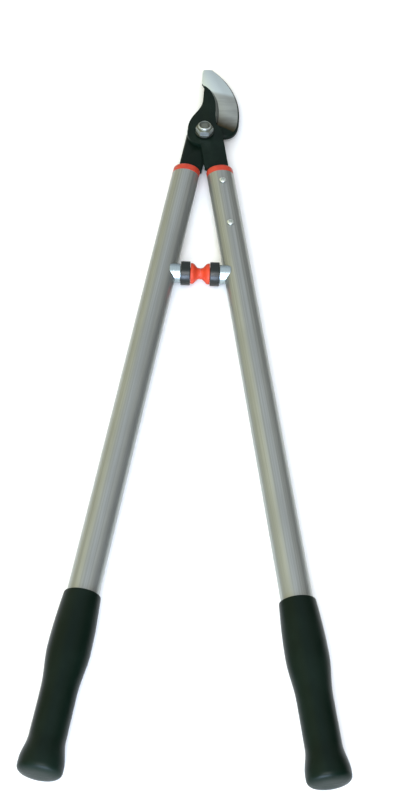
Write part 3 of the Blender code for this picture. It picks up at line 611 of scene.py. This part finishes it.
def moulded_grip(context):
    """Soft thermoplastic rubber: a fine leathery grain and a parting line down both sides."""
    tone, sizes = context.scene.lopper_colours.grip_black, context.scene.lopper_sizes
    finish, tree, shader = start_finish("moulded_thermoplastic_rubber", {"Specular IOR Level": 0.1})
    source = add(tree, "ShaderNodeAttribute", {}, "Vector", attribute_name="made_at")
    inputs = {"Vector": source, "Scale": 1 / sizes.grip_grain}
    cells = add(tree, "ShaderNodeTexVoronoi", inputs, feature="SMOOTH_F1")
    grain = add(tree, "ShaderNodeBump", {"Height": cells, "Distance": sizes.grip_grain_depth})
    depth = add(tree, "ShaderNodeSeparateXYZ", {"Vector": source}, "Y")
    off_parting = add(tree, "ShaderNodeMath", (depth,), operation="ABSOLUTE")
    parting = add(tree, "ShaderNodeMapRange", (off_parting, *PARTING_LINE, 1.0, 0.0), **EASING)
    rubbed = stretched_noise(tree, source, (0.03, 0.03, 0.05))
    ridge = {"Height": parting, "Distance": PARTING_HEIGHT, "Normal": grain}
    wire(tree, shader, {
        "Base Color": graded(tree, rubbed, (0.35, 0.75), (0.0, 1.0), tone, shade(tone, 1.3, 0.001)),
        "Roughness": add(tree, "ShaderNodeMapRange", (rubbed, *SPREAD, 0.28, 0.4), **EASING),
        "Normal": add(tree, "ShaderNodeBump", ridge),
    })
    return finish


def finishes(context):
    """The finishes that several groups share, made once."""
    colours = context.scene.lopper_colours
    makers = {
        "black_low_friction_coating": lambda: coated_steel(context),
        "dull_zinc_plate": lambda: plated_steel("dull_zinc_plate", colours.zinc, roughness=0.36),
        # Zinc of the tang screws, and a painted highlight on the nut's sides
        "bright_zinc_and_painted_highlight": lambda: plated_steel("bright_zinc_and_painted_highlight", colours.screw, roughness=0.42),
        "dark_washer_steel": lambda: plated_steel("dark_washer_steel", colours.washer, roughness=0.4),
        "black_moulded_plastic": lambda: moulded_plastic(
            "black_moulded_plastic", colours.holder_black, roughness=0.36, grain_depth=0.00002, gloss=0.35
        ),
    }
    return {name: bpy.data.materials.get(name) or make() for name, make in makers.items()}


# Operators


class LOPPER_OT_hook(bpy.types.Operator):
    """The forged hook, with its sharp edges eased"""

    bl_idname = "lopper.hook"
    bl_label = "Hook"

    def execute(self, context):
        piece = clean_copy("counter_blade", "hook_forging")
        bpy.ops.mesh.edges_select_sharp(sharpness=SHARP_ANGLE)
        rounding = context.scene.lopper_sizes.edge_rounding
        bpy.ops.mesh.bevel(offset=rounding, segments=2, clamp_overlap=True)
        bpy.ops.object.mode_set(mode="OBJECT")
        settle(piece, Matrix(), ground_hook(context))
        stand_for(piece, "left_arm", "counter_blade")
        return {"FINISHED"}


class LOPPER_OT_blade(bpy.types.Operator):
    """The cutting blade: coated, and ground bright along its edge"""

    bl_idname = "lopper.blade"
    bl_label = "Blade"

    def execute(self, context):
        piece = clean_copy("cutting_blade", "blade_forging")
        pick_edges(self.takes_rounding)
        rounding = context.scene.lopper_sizes.edge_rounding
        bpy.ops.mesh.bevel(offset=rounding, segments=2, clamp_overlap=True)
        bpy.ops.object.mode_set(mode="OBJECT")
        settle(piece, Matrix(), finishes(context)["black_low_friction_coating"])
        piece.data.materials.append(ground_edge(context))
        for face in piece.data.polygons:
            face.material_index = int(self.on_grind(face))
        stand_for(piece, "right_arm", "cutting_blade")
        return {"FINISHED"}

    @staticmethod
    def slants(face):
        return GRIND_SLANT[0] < face.normal.z < GRIND_SLANT[1]

    def takes_rounding(self, edge):
        """Sharp edges are rounded, but not those of the grind."""
        sharp = len(edge.link_faces) == 2 and edge.calc_face_angle(0) > SHARP_ANGLE
        return sharp and not any(self.slants(face) for face in edge.link_faces)

    def on_grind(self, face):
        """The grind slants between the blade's front and its edge, well above the pivot."""
        above = face.center.y - PIVOT.y > GRIND_START
        return above and self.slants(face) and face.area > GRIND_SMALLEST_FACE


class LOPPER_OT_pivot(bpy.types.Operator):
    """The pivot bolt with its washers, bush and locking nut"""

    bl_idname = "lopper.pivot"
    bl_label = "Pivot"

    def execute(self, context):
        zinc, dark_steel = (finishes(context)[name] for name in ("dull_zinc_plate", "dark_washer_steel"))
        sizes = context.scene.lopper_sizes
        for side in ("front", "back"):
            low, high = span(f"pivot_washer_{side}", AT_PIVOT)
            inner = PIVOT_RADIUS + CLEARANCE
            half = (inner + high.x) / 2
            profile = [(high.z, half), (high.z, high.x), (low.z, high.x), (low.z, inner), (high.z, inner)]
            rings = eased(round_rings([*profile, (high.z, half)]), sizes.edge_rounding)
            washer = drawn_through(f"washer_{side}", rings, sizes.round_sides, "joined")
            settle(washer, AT_PIVOT, dark_steel)
            stand_for(washer, "left_arm", f"pivot_washer_{side}")
        self.nut(sizes, zinc, finishes(context)["bright_zinc_and_painted_highlight"])
        self.insert(context)
        self.bolt(sizes, zinc)
        bush = FRAME["nodes"]["pivot_bush"]
        bush.data.materials.clear()
        bush.data.materials.append(sintered_bronze(context))
        return {"FINISHED"}

    @staticmethod
    def hexagon(name, corner, seat, end, sides):
        """A hexagon head whose corners are turned off at its end."""
        head = drawn_through(name, round_rings([(seat, corner), (end, corner)]), 6, turn=HEX_TURN)
        face = HEX_FACE * corner * math.sqrt(3) / 2
        rim = corner * 1.1
        drop = (rim - face) * math.tan(HEX_CHAMFER) * math.copysign(1, end - seat)
        profile = [(seat - drop, rim), (end - drop, rim), (end, face)]
        turning = drawn_through("turning", round_rings(profile), sides)
        return combine(head, turning, "INTERSECT")

    def nut(self, sizes, zinc, bright):
        low, high = span("pivot_nut", AT_PIVOT)
        hex_top = low.z + HEX_HEIGHT
        nut = self.hexagon("lock_nut", high.x, low.z, hex_top, sizes.round_sides)
        profile = [(hex_top - 2 * PAST, NUT_COLLAR_RADIUS), (high.z - NUT_RIM_HEIGHT, NUT_COLLAR_RADIUS)]
        profile += [(high.z, NUT_COLLAR_RADIUS - NUT_RIM_WIDTH), (high.z, INSERT_RADIUS)]
        rings = [*round_rings(profile[:1]), *eased(round_rings(profile), sizes.edge_rounding)[1:]]
        combine(nut, drawn_through("nut_collar", rings, sizes.round_sides), "UNION")
        recess = round_rings([(high.z - INSERT_RECESS, INSERT_RADIUS), (high.z + PAST, INSERT_RADIUS)])
        combine(nut, drawn_through("insert_recess", recess, sizes.round_sides), "DIFFERENCE")
        radius = PIVOT_RADIUS + CLEARANCE
        bore = round_rings([(low.z - PAST, radius), (high.z + PAST, radius)])
        combine(nut, drawn_through("nut_bore", bore, sizes.round_sides), "DIFFERENCE")
        settle(nut, AT_PIVOT, zinc)
        # Painted highlight: the nut's sides take the brighter zinc, and its top keeps the duller zinc
        nut.data.materials.append(bright)
        for face in nut.data.polygons:
            face.material_index = int(abs(face.normal.z) < NUT_HIGHLIGHT_FACING)
        stand_for(nut, "left_arm", "pivot_nut")

    @staticmethod
    def insert(context):
        """The nylon ring that locks the nut, set a little below the nut's rim."""
        sizes = context.scene.lopper_sizes
        top = span("pivot_nut", AT_PIVOT)[1].z - INSERT_DROP
        bottom = top - INSERT_HEIGHT
        inner, outer = PIVOT_RADIUS + INSERT_PLAY, INSERT_RADIUS - INSERT_PLAY
        half = (inner + outer) / 2
        profile = [(top, half), (top, outer), (bottom, outer), (bottom, inner), (top, inner), (top, half)]
        rings = eased(round_rings(profile), INSERT_ROUNDING)
        ring = drawn_through("nylon_insert", rings, sizes.round_sides, "joined")
        tone = context.scene.lopper_colours.nylon
        nylon = moulded_plastic("moulded_nylon", tone, roughness=0.45, grain_depth=0.00001)
        settle(ring, AT_PIVOT, nylon)
        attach(ring, "left_arm")

    def bolt(self, sizes, zinc):
        low, high = span("pivot_bolt", AT_PIVOT)
        seat = span("pivot_washer_back", AT_PIVOT)[0].z - CLEARANCE
        bolt = self.hexagon("shoulder_bolt", high.x, seat, low.z, sizes.round_sides)
        start = span("pivot_nut", AT_PIVOT)[0].z
        groove, pitch = PIVOT_RADIUS - THREAD_DEPTH, sizes.thread_pitch
        profile = [((seat + low.z) / 2, PIVOT_RADIUS), (start, PIVOT_RADIUS)]
        turns = int((high.z - start) / pitch)
        for number in range(turns):
            root = start + (number + 0.5) * pitch
            profile += [(root, groove), (root + pitch / 2, PIVOT_RADIUS - THREAD_CREST_DROP)]
        profile += [(high.z, groove - BOLT_END_INSET)]
        combine(bolt, drawn_through("bolt_shank", round_rings(profile), sizes.round_sides), "UNION")
        settle(bolt, AT_PIVOT, zinc)
        stand_for(bolt, "left_arm", "pivot_bolt")


class LOPPER_OT_tubes(bpy.types.Operator):
    """The two oval aluminium tubes, with the wall inside them"""

    bl_idname = "lopper.tubes"
    bl_label = "Tubes"

    def execute(self, context):
        low, high = span("right_tube", ON_HANDLE)
        rings = [(low.z, high.x, high.y), (high.z, high.x, high.y)]
        tube = drawn_through("tube", rings, context.scene.lopper_sizes.oval_sides, "open")
        only(tube)
        wall = tube.modifiers.new("wall", "SOLIDIFY")
        wall.thickness = TUBE_WALL
        wall.offset = -1
        wall.use_even_offset = True
        bpy.ops.object.modifier_apply(modifier=wall.name)
        settle(tube, ON_HANDLE, anodised_tube(context))
        on_both_handles(tube, "oval_tube", "tube")
        return {"FINISHED"}


class LOPPER_OT_collars(bpy.types.Operator):
    """The moulded collars that close the tubes' upper ends round the tangs"""

    bl_idname = "lopper.collars"
    bl_label = "Collars"

    def execute(self, context):
        sizes = context.scene.lopper_sizes
        low, high = span("right_collar", ON_HANDLE)
        half_width, half_depth = high.x, high.y
        rings = []
        for step in range(COLLAR_STEPS + 1):
            angle = math.pi / 2 * step / COLLAR_STEPS
            height = low.z + COLLAR_ROUNDING * (1 - math.cos(angle))
            back = COLLAR_ROUNDING * (1 - math.sin(angle))
            rings.append((height, half_width - back, half_depth - back))
        flange = low.z + COLLAR_HEIGHT
        inward = TUBE_WALL + CLEARANCE
        edge = sizes.moulded_rounding / 2
        rings += [
            (flange - edge, half_width, half_depth),
            (flange, half_width - edge, half_depth - edge),
            (flange, half_width - inward, half_depth - inward),
            (high.z, half_width - inward, half_depth - inward),
        ]
        collar = drawn_through("collar", rings, sizes.oval_sides)
        half = TANG_WIDTH / 2 + CLEARANCE
        bottom, top = (corner.z - PIVOT.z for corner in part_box("cutting_blade"))
        slot = block(
            "collar_slot",
            (-half, bottom - CLEARANCE, low.z - 2 * PAST),
            (half, top + CLEARANCE, high.z + 2 * PAST),
        )
        combine(collar, slot, "DIFFERENCE")
        tone = context.scene.lopper_colours.collar_red
        red = moulded_plastic("red_moulded_plastic", tone, roughness=0.38, grain_depth=0.000012)
        settle(collar, ON_HANDLE, red)
        on_both_handles(collar, "end_collar", "collar")
        return {"FINISHED"}


class LOPPER_OT_tang_screws(bpy.types.Operator):
    """The screws that hold the tangs, with a domed head and a cross recess"""

    bl_idname = "lopper.tang_screws"
    bl_label = "Tang screws"

    def execute(self, context):
        sizes = context.scene.lopper_sizes
        zinc = finishes(context)["bright_zinc_and_painted_highlight"]
        for number in (1, 2):
            place = Matrix.Translation((SCREWS[number - 1].x, SCREWS[number - 1].y, PIVOT.z))
            place = place @ Matrix.Rotation(HANDLE_ANGLE + math.radians(SCREW_TURN * number), 4, "Z")
            low, high = span(f"right_tang_screw_{number}", place)
            top, seat = high.z, high.z - SCREW_HEAD_HEIGHT
            profile = [(low.z, SCREW_SHANK_RADIUS), (seat, SCREW_SHANK_RADIUS), (seat, SCREW_HEAD_RADIUS)]
            rim = seat + SCREW_HEAD_HEIGHT * SCREW_RIM
            for step in range(SCREW_DOME_STEPS + 1):
                angle = math.radians(SCREW_LAST_ANGLE * step / SCREW_DOME_STEPS)
                height = rim + (top - rim) * math.sin(angle)
                profile.append((height, SCREW_HEAD_RADIUS * math.cos(angle) ** SCREW_DOME_FLATNESS))
            screw = drawn_through("screw", round_rings(profile), sizes.round_sides // 2)
            arm, half = SCREW_HEAD_RADIUS * RECESS_REACH, sizes.recess_width / 2
            deep, above = top - sizes.recess_depth, top + PAST
            cross = block("recess", (-arm, -half, deep), (arm, half, above))
            combine(cross, block("recess_arm", (-half, -arm, deep), (half, arm, above)), "UNION")
            combine(screw, cross, "DIFFERENCE")
            settle(screw, place, zinc)
            on_both_handles(screw, f"pan_screw_{number}", f"tang_screw_{number}")
        return {"FINISHED"}


class LOPPER_OT_bumpers(bpy.types.Operator):
    """The bumpers: rubber tip, holder and bright seat on each side, and what fastens them"""

    bl_idname = "lopper.bumpers"
    bl_label = "Bumpers"

    def execute(self, context):
        sizes, colours = context.scene.lopper_sizes, context.scene.lopper_colours
        self.tip(sizes, colours)
        self.holder(sizes, finishes(context)["black_moulded_plastic"])
        self.seat(sizes, bright_chrome(context))
        for side in ("right", "left"):
            for part in ("screw", "nut"):
                node = FRAME["nodes"][f"{side}_bumper_{part}"]
                node.data.materials.clear()
                node.data.materials.append(finishes(context)["dull_zinc_plate"])
        return {"FINISHED"}

    @staticmethod
    def tip(sizes, colours):
        high = span("right_bumper_tip", ON_BUMPER)[1]
        base_at = span("right_bumper_holder", ON_BUMPER)[0].z - CLEARANCE
        face, base = TIP_FACE_DIAMETER / 2, high.x
        start, end = TIP_GAP + TIP_NOSE_LENGTH, base_at - TIP_FOOT_LENGTH
        profile = [(TIP_GAP, face - sizes.edge_rounding), (TIP_GAP, face)]
        for step in range(TIP_STEPS + 1):
            share = step / TIP_STEPS
            swing = (1 - math.cos(math.pi * share)) / 2
            profile.append((start + (end - start) * share, face + (base - face) * swing))
        profile += [(base_at, base)]
        plug = BORE_DIAMETER / 2 - CLEARANCE
        profile += [(base_at, plug), (high.z, plug)]
        tip = drawn_through("tip", eased(round_rings(profile), sizes.edge_rounding / 2), sizes.round_sides)
        tone = colours.bumper_red
        red = moulded_plastic("red_moulded_rubber", tone, roughness=0.55, grain_depth=0.00003, gloss=0.3)
        settle(tip, ON_BUMPER, red)
        on_both_handles(tip, "rubber_tip", "bumper_tip")

    @staticmethod
    def holder(sizes, black):
        low, high = span("right_bumper_holder", ON_BUMPER)
        outer, bore = high.x, BORE_DIAMETER / 2
        floor, hole = high.z - HOLDER_FLOOR, BUMPER_SCREW_RADIUS + CLEARANCE
        half = (low.z + high.z) / 2
        profile = [(half, outer), (high.z, outer), (high.z, hole), (floor, hole), (floor, bore)]
        profile += [(low.z, bore), (low.z, outer), (half, outer)]
        rings = eased(round_rings(profile), sizes.moulded_rounding)
        cup = drawn_through("holder", rings, sizes.round_sides, "joined")
        settle(cup, ON_BUMPER, black)
        on_both_handles(cup, "cup_holder", "bumper_holder")

    @staticmethod
    def seat(sizes, chrome):
        low, high = span("right_bumper_seat", ON_BUMPER)
        outer, hole = high.x, BUMPER_SCREW_RADIUS + CLEARANCE
        half = (low.z + high.z) / 2
        profile = [(half, outer), (high.z, outer), (high.z, hole)]
        profile += [(low.z, hole), (low.z, outer), (half, outer)]
        rings = eased(round_rings(profile), sizes.edge_rounding)
        seat = drawn_through("seat", rings, sizes.round_sides, "joined")
        tube = span("right_tube", ON_HANDLE)[1]
        width, depth = tube.x + CLEARANCE, tube.y + CLEARANCE
        along = (ON_HANDLE.inverted() @ BUMPER_MIDDLE).z
        rings = [(along - SADDLE_REACH, width, depth), (along + SADDLE_REACH, width, depth)]
        saddle = drawn_through("saddle", rings, sizes.oval_sides)
        saddle.matrix_world = ON_BUMPER.inverted() @ ON_HANDLE
        combine(seat, saddle, "DIFFERENCE")
        settle(seat, ON_BUMPER, chrome)
        on_both_handles(seat, "plated_seat", "bumper_seat")


class LOPPER_OT_grips(bpy.types.Operator):
    """The moulded grips: lip, swell, waist and flare, and a rounded closed end"""

    bl_idname = "lopper.grips"
    bl_label = "Grips"

    def execute(self, context):
        sizes = context.scene.lopper_sizes
        low, high = span("right_grip", ON_HANDLE)
        half_width, half_depth, tube_end = span("right_tube", ON_HANDLE)[1]
        bore = (half_width + CLEARANCE, half_depth + CLEARANCE)
        start, end = low.z, high.z
        widest = end - GRIP_END_ROUNDING
        knots = [
            (start, GRIP_MOUTH_WALL),
            (start + GRIP_SWELL_DISTANCE, GRIP_SWELL_WALL),
            *((start + distance, GRIP_WAIST_WALL) for distance in GRIP_WAIST_DISTANCES),
            (widest, GRIP_FLARE_WALL),
        ]
        outside = []
        for (near, walls), (far, next_walls) in zip(knots, knots[1:]):
            for step in range(GRIP_STEPS):
                share = step / GRIP_STEPS
                swing = (1 - math.cos(math.pi * share)) / 2
                if walls is GRIP_MOUTH_WALL:
                    swing = math.sin(math.pi * share / 2)
                width, depth = (a + (b - a) * swing for a, b in zip(walls, next_walls))
                outside.append((near + (far - near) * share, half_width + width, half_depth + depth))
        for step in range(GRIP_END_STEPS):
            angle = math.radians(GRIP_LAST_ANGLE * step / (GRIP_END_STEPS - 1))
            along = math.sin(angle) ** (2 / GRIP_END_FULLNESS)
            shrink = math.cos(angle) ** (2 / GRIP_END_FULLNESS)
            width = (half_width + GRIP_FLARE_WALL[0]) * shrink
            depth = (half_depth + GRIP_FLARE_WALL[1]) * shrink
            outside.append((widest + GRIP_END_ROUNDING * along, width, depth))
        inside = (start + GRIP_LIP_REACH, *bore)
        mouth = [inside, (start, *bore), outside[0], outside[1]]
        lip = eased(mouth, sizes.grip_lip, GRIP_LIP_STEPS)[:-1]
        rings = [(tube_end + CLEARANCE, *bore), *lip, *outside[1:]]
        grip = drawn_through("grip", rings, sizes.oval_sides)
        settle(grip, ON_HANDLE, moulded_grip(context))
        on_both_handles(grip, "moulded_grip", "grip")
        return {"FINISHED"}


class LOPPER_OT_stage(bpy.types.Operator):
    """Pale floor, soft studio light and the camera"""

    bl_idname = "lopper.stage"
    bl_label = "Stage"

    def execute(self, context):
        bpy.ops.object.select_all(action="DESELECT")
        bpy.ops.mesh.primitive_plane_add(size=FLOOR_SIZE, location=(0, 0, CAD_BOX[0].z))
        floor = bpy.context.object
        floor.name = "floor"
        paper, tree, shader = start_finish("matt_paper", {"Specular IOR Level": 0.1})
        wire(tree, shader, {"Base Color": context.scene.lopper_colours.floor, "Roughness": 0.9})
        floor.data.materials.append(paper)
        self.light("camera_softbox", (-0.1, -1.34, 1.75), size=1.2, power=36, code="#FBFCFF")
        self.light("front_softbox", (-0.1, -2.1, 0.5), size=1.1, power=84, code="#CCE0FF")
        self.surroundings()
        bpy.context.scene.view_settings.view_transform = "Standard"
        self.camera()
        return {"FINISHED"}

    @staticmethod
    def light(name, location, size, power, code):
        """A square area light that faces the tool's middle."""
        bpy.ops.object.light_add(type="AREA", location=location)
        lamp = bpy.context.object
        lamp.name = lamp.data.name = name
        lamp.data.size = size
        lamp.data.energy = power
        lamp.data.color = linear(code)[:3]
        lamp.rotation_euler = (-Vector(location)).to_track_quat("-Z", "Y").to_euler()

    @staticmethod
    def surroundings():
        """A light studio round the tool: warm on the left, dim on the right, brighter overhead."""
        world = bpy.data.worlds.new("studio")
        world.use_nodes = True
        tree = world.node_tree
        direction = add(tree, "ShaderNodeTexCoord", {}, "Generated")
        sideways, height = (add(tree, "ShaderNodeSeparateXYZ", {"Vector": direction}, axis) for axis in "XZ")
        # In each range: the direction in which it begins and ends, and the strength in both
        left = add(tree, "ShaderNodeMapRange", (sideways, -0.7, 0.0, 1.18, 0.93), **EASING)
        right = add(tree, "ShaderNodeMapRange", (sideways, 0.05, 0.8, 0.0, -0.58), **EASING)
        overhead = add(tree, "ShaderNodeMapRange", (height, 0.45, 0.75, -0.22, 0.28), **EASING)
        sides = add(tree, "ShaderNodeMath", (left, right), operation="ADD")
        strength = add(tree, "ShaderNodeMath", (sides, overhead), operation="ADD")
        warm, cool, neutral = (linear(code) for code in ("#FEFCD0", "#E9F1FF", "#F6F7F1"))
        tone = graded(tree, sideways, (-0.6, -0.05), (1.0, 0.0), cool, warm)
        tone = graded(tree, sideways, (0.1, 0.5), (0.0, 1.0), tone, neutral)
        wire(tree, tree.nodes["Background"], {"Color": tone, "Strength": strength})
        bpy.context.scene.world = world

    @staticmethod
    def camera():
        """The photograph's view, worked out from the two straight tubes."""
        bpy.ops.object.camera_add()
        camera = bpy.context.object
        camera.name = "photo_camera"
        place = Matrix.Translation(PIVOT + Vector(CAMERA_STAND))
        for angle, axis in CAMERA_TURNS:
            place = place @ Matrix.Rotation(angle, 4, axis)
        camera.matrix_world = place
        camera.data.sensor_width = CAMERA_SENSOR
        camera.data.lens = CAMERA_LENS
        bpy.context.scene.camera = camera


STEPS = (
    LOPPER_OT_hook,
    LOPPER_OT_blade,
    LOPPER_OT_pivot,
    LOPPER_OT_tubes,
    LOPPER_OT_collars,
    LOPPER_OT_tang_screws,
    LOPPER_OT_bumpers,
    LOPPER_OT_grips,
    LOPPER_OT_stage,
)


class LOPPER_PT_panel(bpy.types.Panel):
    """Lists the lopper's groups of pieces, sizes and colours"""

    bl_idname = "LOPPER_PT_panel"
    bl_label = "Bypass Lopper"
    bl_space_type = "VIEW_3D"
    bl_region_type = "UI"
    bl_category = "Lopper"

    def draw(self, context):
        for step in STEPS:
            self.layout.operator(step.bl_idname)
        for group in (context.scene.lopper_sizes, context.scene.lopper_colours):
            column = self.layout.column(align=True)
            for name in group.__annotations__:
                column.prop(group, name)


CLASSES = (LopperSizes, LopperColours, *STEPS, LOPPER_PT_panel)


def register():
    for each in CLASSES:
        bpy.utils.register_class(each)
    bpy.types.Scene.lopper_sizes = PointerProperty(type=LopperSizes)
    bpy.types.Scene.lopper_colours = PointerProperty(type=LopperColours)


def unregister():
    del bpy.types.Scene.lopper_colours
    del bpy.types.Scene.lopper_sizes
    for each in reversed(CLASSES):
        bpy.utils.unregister_class(each)


def main():
    register()
    bpy.ops.lopper.hook()
    bpy.ops.lopper.blade()
    bpy.ops.lopper.pivot()
    bpy.ops.lopper.tubes()
    bpy.ops.lopper.collars()
    bpy.ops.lopper.tang_screws()
    bpy.ops.lopper.bumpers()
    bpy.ops.lopper.grips()
    bpy.ops.lopper.stage()


if __name__ == "__main__":
    main()
